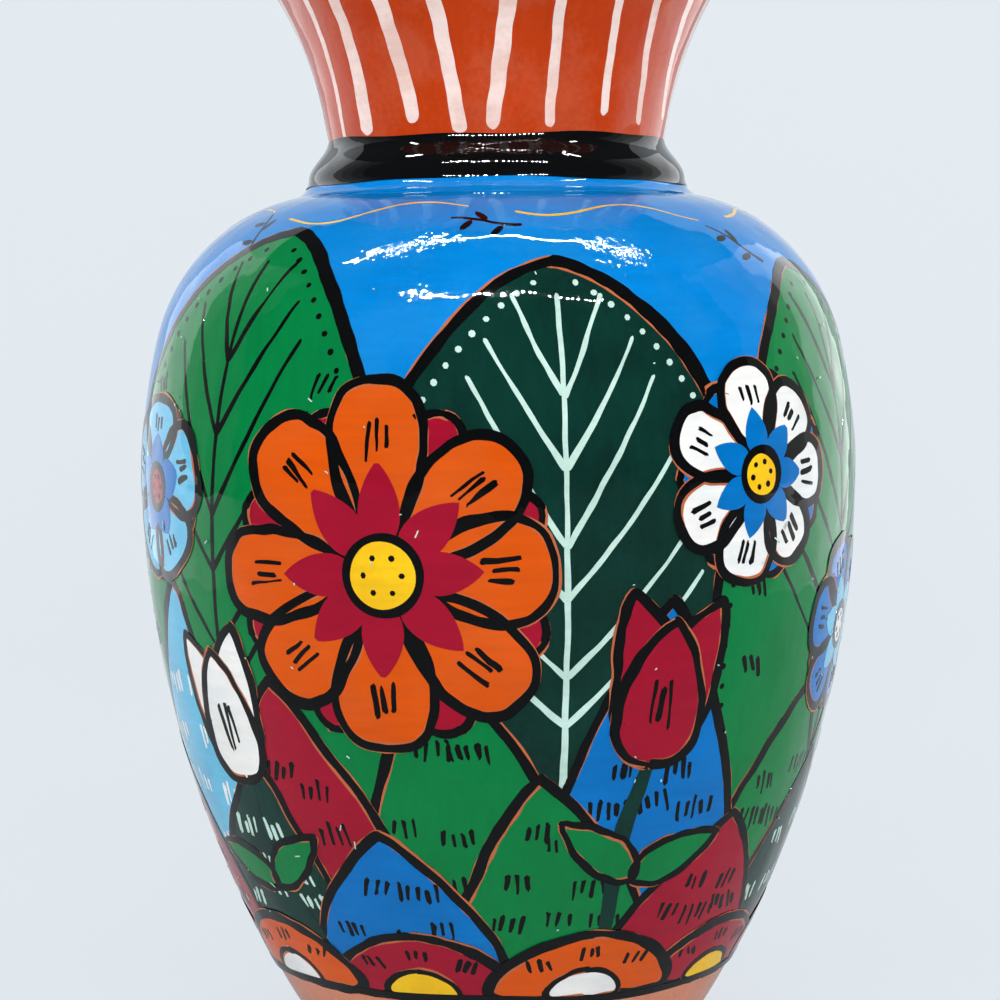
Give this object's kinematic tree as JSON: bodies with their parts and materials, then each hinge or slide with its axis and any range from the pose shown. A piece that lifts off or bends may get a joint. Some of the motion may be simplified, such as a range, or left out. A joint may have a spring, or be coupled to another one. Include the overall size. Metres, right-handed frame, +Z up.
{
  "type": "vase",
  "caption": "Shouldered clay vase with a small foot, a full belly, a rolled collar and a flared neck; stands on a table and holds stems.",
  "frame": {"origin": "centre of the foot ring on the table", "axes": "+Z up along the vase's axis of revolution; -Y towards the picture's camera; +X to the camera's right"},
  "size_m": [0.1544, 0.1544, 0.2402],
  "materials": {
    "terracotta": "bare low-fired clay, matt",
    "green_paint": "brushed paint under gloss varnish",
    "sky_paint": "brushed paint under gloss varnish",
    "black_paint": "brushed paint under gloss varnish",
    "orange_paint": "brushed paint under gloss varnish",
    "slip": "fired clay slip, matt",
    "white_paint": "brushed paint under gloss varnish",
    "crimson_paint": "brushed paint under gloss varnish",
    "light_blue_paint": "brushed paint under gloss varnish",
    "dark_green_paint": "brushed paint under gloss varnish",
    "yellow_paint": "brushed paint under gloss varnish",
    "blue_paint": "brushed paint under gloss varnish"
  },
  "bodies": {
    "root": {"foot_ring": "terracotta", "floor_slab": "terracotta", "lower_bowl": "green_paint", "shoulder_bowl": "sky_paint", "collar_coil": "black_paint", "neck": "orange_paint", "floor_slip": "slip", "foot_slip": "slip", "belly_slip": "slip", "collar_slip": "slip", "neck_slip": "slip"}
  },
  "joints": []
}
